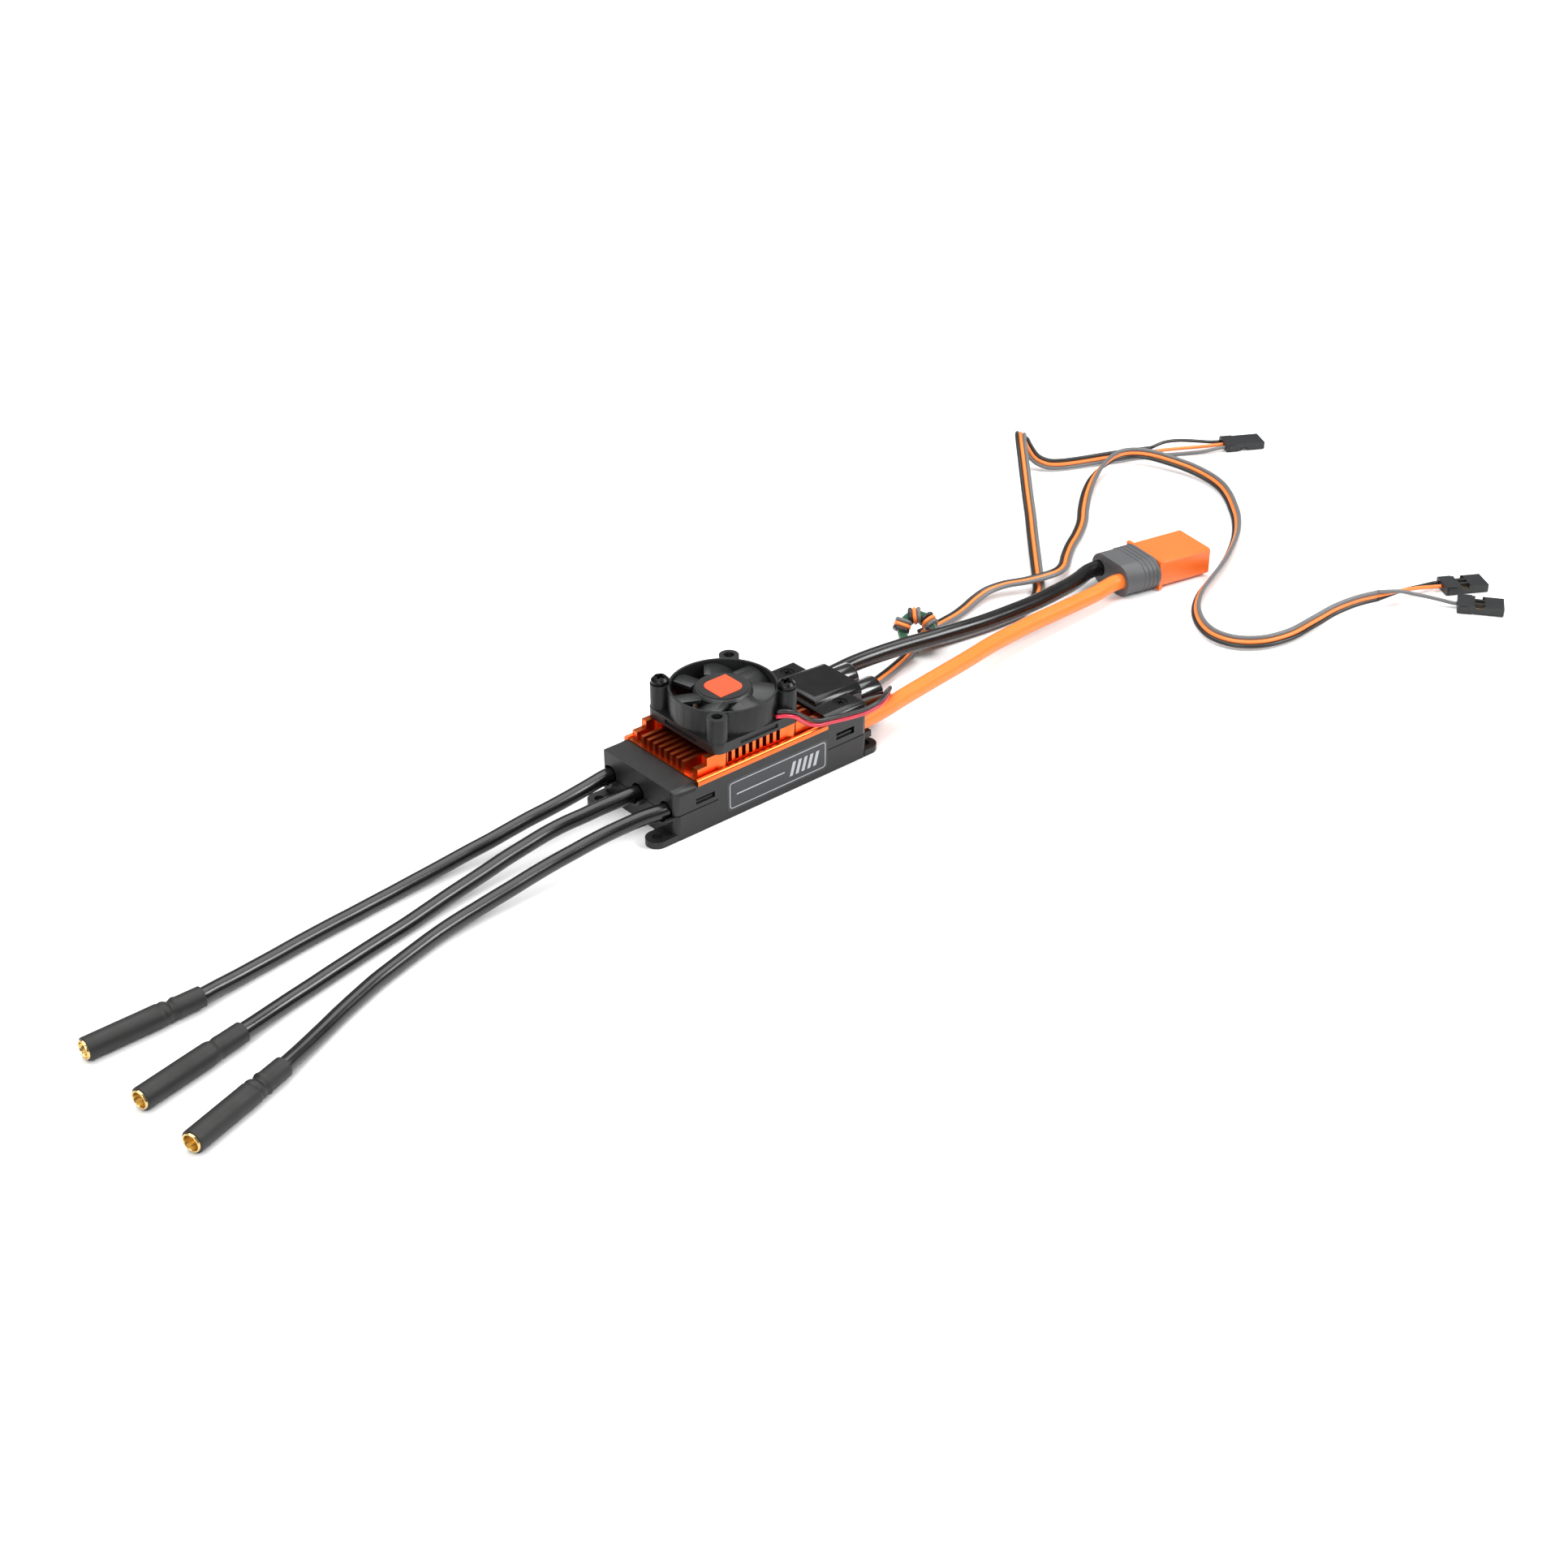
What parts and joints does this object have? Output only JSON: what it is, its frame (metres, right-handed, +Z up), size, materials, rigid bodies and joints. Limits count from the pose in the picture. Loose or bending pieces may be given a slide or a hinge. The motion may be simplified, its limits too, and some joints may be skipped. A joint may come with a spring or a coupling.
{
  "type": "electronic speed controller",
  "caption": "Brushless motor speed controller: cased power stage with finned heatsink, cooling fan, motor leads with bullet sockets, battery plug and receiver cables.",
  "frame": {"origin": "centre of the case's footprint with capacitors and ears, on the floor plane", "axes": "+X towards the battery leads, -Y the labelled side, +Z up through the fan"},
  "size_m": [0.4804, 0.1788, 0.032],
  "materials": {
    "case_plastic": "satin charcoal moulding",
    "cap_plastic": "semi-gloss black moulding",
    "black_screw": "black oxide steel",
    "anodised_orange": "orange anodised extrusion",
    "thermal_pad": "soft grey pad",
    "circuit_board": "green solder mask",
    "transistor_epoxy": "moulded epoxy",
    "tinned_copper": "tinned copper",
    "capacitor_sleeve": "glossy black sleeve",
    "label_film": "satin film, blank",
    "fan_plastic": "fine textured moulding",
    "bronze_bush": "sintered bronze",
    "copper_coil": "enamelled copper on steel",
    "steel_shaft": "ground steel",
    "magnet_ferrite": "bonded magnet",
    "sticker_black": "printed film",
    "mark_orange": "printed ink",
    "silicone_black": "glossy silicone",
    "silicone_orange": "satin silicone",
    "heat_shrink": "matte polyolefin",
    "gold_contact": "gold plated brass",
    "boot_grey": "soft moulded grey",
    "shell_orange": "satin nylon",
    "wire_red": "thin insulation",
    "wire_black": "thin insulation",
    "wire_orange": "thin insulation",
    "wire_grey": "thin insulation",
    "ribbon": "three bonded wires, black, orange and grey",
    "ferrite_green": "glossy green coating",
    "plug_black": "black nylon"
  },
  "bodies": {
    "controller": {"lower_case": "case_plastic", "front_cap": "case_plastic", "rear_cap": "cap_plastic", "cap_screws": "black_screw", "heatsink": "anodised_orange", "thermal_pad": "thermal_pad", "power_board": "circuit_board", "control_board": "circuit_board", "power_transistors": "transistor_epoxy", "solder_posts": "tinned_copper", "capacitor_1": "capacitor_sleeve", "capacitor_2": "capacitor_sleeve", "side_label": "label_film", "fan_frame": "fan_plastic", "fan_bearing": "bronze_bush", "fan_circuit_board": "circuit_board", "fan_stator": "copper_coil", "fan_screws": "black_screw", "motor_lead_1": "silicone_black", "motor_lead_2": "silicone_black", "motor_lead_3": "silicone_black", "bullet_socket_1": "gold_contact", "bullet_socket_2": "gold_contact", "bullet_socket_3": "gold_contact", "heat_shrink_1": "heat_shrink", "heat_shrink_2": "heat_shrink", "heat_shrink_3": "heat_shrink", "battery_lead_black": "silicone_black", "battery_lead_orange": "silicone_orange", "plug_boot": "boot_grey", "plug_shell": "shell_orange", "plug_pins": "gold_contact", "fan_lead_red": "wire_red", "fan_lead_black": "wire_black", "ribbon_feed": "ribbon", "ribbon_a": "ribbon", "ribbon_b": "ribbon", "wire_a_black": "wire_black", "wire_a_orange": "wire_orange", "wire_a_grey": "wire_grey", "wire_b_black": "wire_black", "wire_b_orange": "wire_orange", "wire_c_grey": "wire_grey", "ferrite_ring": "ferrite_green", "ribbon_turns": "ribbon", "receiver_plug_a": "plug_black", "receiver_plug_b": "plug_black", "receiver_plug_c": "plug_black", "plug_contacts": "gold_contact"},
    "rotor": {"fan_rotor": "fan_plastic", "fan_shaft": "steel_shaft", "fan_magnet_ring": "magnet_ferrite", "fan_sticker": "sticker_black", "fan_mark": "mark_orange"}
  },
  "joints": [
    {"name": "fan_spin", "type": "hinge", "parent": "controller", "child": "rotor", "pos_m": [-0.0072, 0, 0.0255], "axis": [0, 0, 1], "continuous": true}
  ]
}
